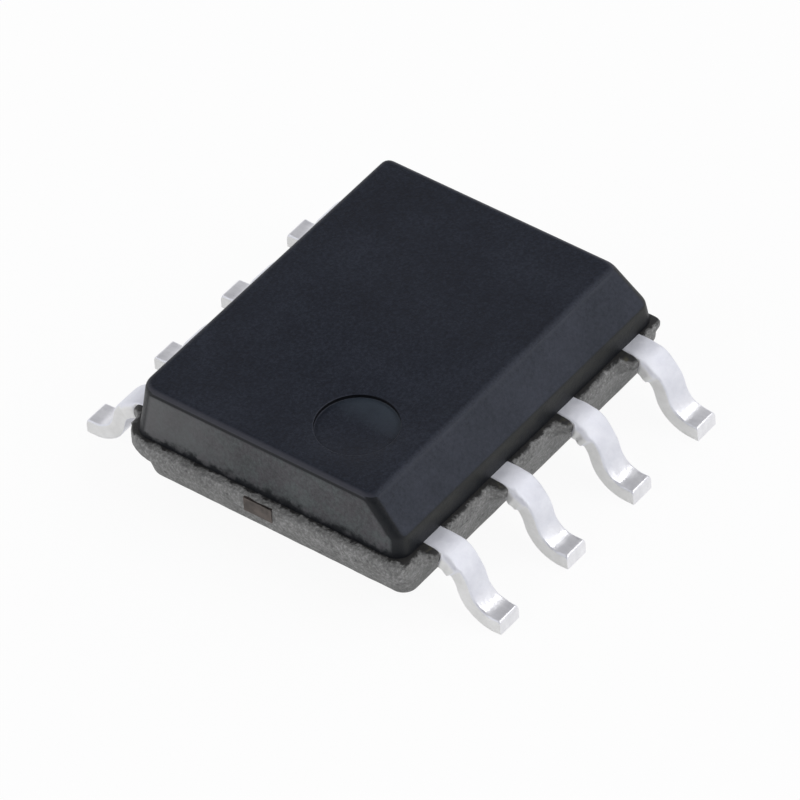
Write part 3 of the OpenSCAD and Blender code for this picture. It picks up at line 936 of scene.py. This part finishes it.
def floor_material():
    """Matte, and lit from itself where the camera or a reflection sees it, so that it stays nearly white."""
    mat = bpy.data.materials.new("studio_floor")
    mat.use_nodes = True
    tree = mat.node_tree
    tree.nodes.clear()
    out = add_node(tree, "ShaderNodeOutputMaterial")
    matte = add_node(tree, "ShaderNodeBsdfDiffuse")
    matte.inputs["Color"].default_value = (0.92, 0.92, 0.92, 1)
    path = add_node(tree, "ShaderNodeLightPath")
    seen = add_node(tree, "ShaderNodeMath", operation="MAXIMUM")
    tree.links.new(path.outputs["Is Camera Ray"], seen.inputs[0])
    tree.links.new(path.outputs["Is Glossy Ray"], seen.inputs[1])
    share = add_node(tree, "ShaderNodeMath", operation="MULTIPLY")
    share.inputs[1].default_value = FLOOR_GLOW
    tree.links.new(seen.outputs[0], share.inputs[0])
    shine = glow(tree, "ShaderNodeEmission")
    tree.links.new(mix_shaders(tree, share.outputs[0], matte.outputs[0], shine.outputs[0]), out.inputs[0])
    return mat


def build_floor():
    bm = bmesh.new()
    turns = [2 * math.pi * i / FLOOR_SIDES for i in range(FLOOR_SIDES)]
    bm.faces.new([bm.verts.new((FLOOR_R * math.cos(a), FLOOR_R * math.sin(a), 0.0)) for a in turns])
    mesh = bpy.data.meshes.new("studio_floor")
    bm.to_mesh(mesh)
    bm.free()
    mesh.materials.append(floor_material())
    floor = bpy.data.objects.new("studio_floor", mesh)
    bpy.context.scene.collection.objects.link(floor)


def grey_ramp(tree, fac, *stops):
    """stops are (place, brightness)."""
    ramp = add_node(tree, "ShaderNodeValToRGB")
    elements = ramp.color_ramp.elements
    ramp.color_ramp.interpolation = "EASE"
    while len(elements) < len(stops):
        elements.new(0.5)
    for e, (at, value) in zip(elements, stops):
        e.position = at
        e.color = (value, value, value * 1.01, 1)
    tree.links.new(fac, ramp.inputs["Fac"])
    return ramp.outputs["Color"]


def product(tree, a, b):
    mul = add_node(tree, "ShaderNodeMix", data_type="RGBA", blend_type="MULTIPLY")
    sockets = {socket.identifier: socket for socket in mul.inputs}
    sockets["Factor_Float"].default_value = 1.0
    tree.links.new(a, sockets["A_Color"])
    tree.links.new(b, sockets["B_Color"])
    return next(o for o in mul.outputs if o.identifier == "Result_Color")


def build_world():
    """White where the camera sees it, and otherwise a studio that is darker overhead and at two places."""
    world = bpy.data.worlds.new("studio")
    bpy.context.scene.world = world
    world.use_nodes = True
    tree = world.node_tree
    tree.nodes.clear()
    way = add_node(tree, "ShaderNodeTexCoord").outputs["Generated"]

    def towards(direction):
        dot = add_node(tree, "ShaderNodeVectorMath", operation="DOT_PRODUCT")
        dot.inputs[1].default_value = direction
        tree.links.new(way, dot.inputs[0])
        return dot.outputs["Value"]

    height = add_node(tree, "ShaderNodeSeparateXYZ")
    tree.links.new(way, height.inputs["Vector"])
    by_height = grey_ramp(tree, height.outputs["Z"], (0.0, 1.0), (0.22, 1.0), (0.45, 0.78), (0.72, 0.62),
                          (1.0, 0.62))
    # Darkest behind the camera, and a little darker at the same height on the far side
    by_side = grey_ramp(tree, towards(TOWARDS), (0.74, 1.0), (0.94, 0.10))
    opposite = Vector((-TOWARDS.x, -TOWARDS.y, TOWARDS.z))
    by_far = grey_ramp(tree, towards(opposite), (0.76, 1.0), (0.93, 0.78))
    studio = add_node(tree, "ShaderNodeBackground")
    tree.links.new(product(tree, product(tree, by_height, by_side), by_far), studio.inputs["Color"])
    white = glow(tree, "ShaderNodeBackground")
    path = add_node(tree, "ShaderNodeLightPath")
    seen = mix_shaders(tree, path.outputs["Is Camera Ray"], studio.outputs[0], white.outputs[0])
    tree.links.new(seen, add_node(tree, "ShaderNodeOutputWorld").inputs[0])


def softbox(name, azimuth, elevation, distance, size, power):
    """A round lamp that faces the chip. Its distance and size are in metres."""
    at = aim(azimuth, elevation) * distance
    data = bpy.data.lights.new(name, "AREA")
    data.shape = "DISK"
    data.size = size
    data.energy = power
    lamp = bpy.data.objects.new(name, data)
    lamp.matrix_world = Matrix.Translation(at) @ at.to_track_quat("Z", "Y").to_matrix().to_4x4()
    bpy.context.scene.collection.objects.link(lamp)


def build_camera():
    level = (-TOWARDS).cross(Vector((0, 0, 1))).normalized()
    upright = level.cross(-TOWARDS)
    roll = math.radians(ROLL)
    right = level * math.cos(roll) + upright * math.sin(roll)
    up = upright * math.cos(roll) - level * math.sin(roll)
    place = (Vector(LOOK_AT) + right * SHIFT_RIGHT + up * SHIFT_UP + TOWARDS * DISTANCE) * MM
    data = bpy.data.cameras.new("camera")
    data.sensor_width = 36
    data.lens = LENS
    data.clip_start = 0.005
    data.clip_end = 10
    camera = bpy.data.objects.new("camera", data)
    camera.matrix_world = Matrix(((right.x, up.x, TOWARDS.x, place.x), (right.y, up.y, TOWARDS.y, place.y),
                                  (right.z, up.z, TOWARDS.z, place.z), (0, 0, 0, 1)))
    bpy.context.scene.collection.objects.link(camera)
    bpy.context.scene.camera = camera


# ---------------------------------------------------------------- the scene
build_body()
TIN = tin()
for number in range(1, 9):
    build_lead(number)

# The pieces sealed inside keep their CAD meshes
INSIDE = {"die_pad": copper(), "die_attach": silver_glue(), "die": silicon()}
WIRE = gold()
INSIDE.update({f"bond_wire_{number}": WIRE for number in range(1, 9)})
for node_name, material in INSIDE.items():
    for material_slot in NODES[node_name].material_slots:
        material_slot.material = material

build_floor()
build_world()
softbox("key_back_left", 142, 38, 0.20, 0.12, 0.060)
softbox("front", -80, 42, 0.20, 0.12, 0.075)
softbox("side_right", -30, 52, 0.20, 0.07, 0.040)
build_camera()

bpy.context.scene.view_settings.view_transform = "Standard"

bpy.context.view_layer.update()
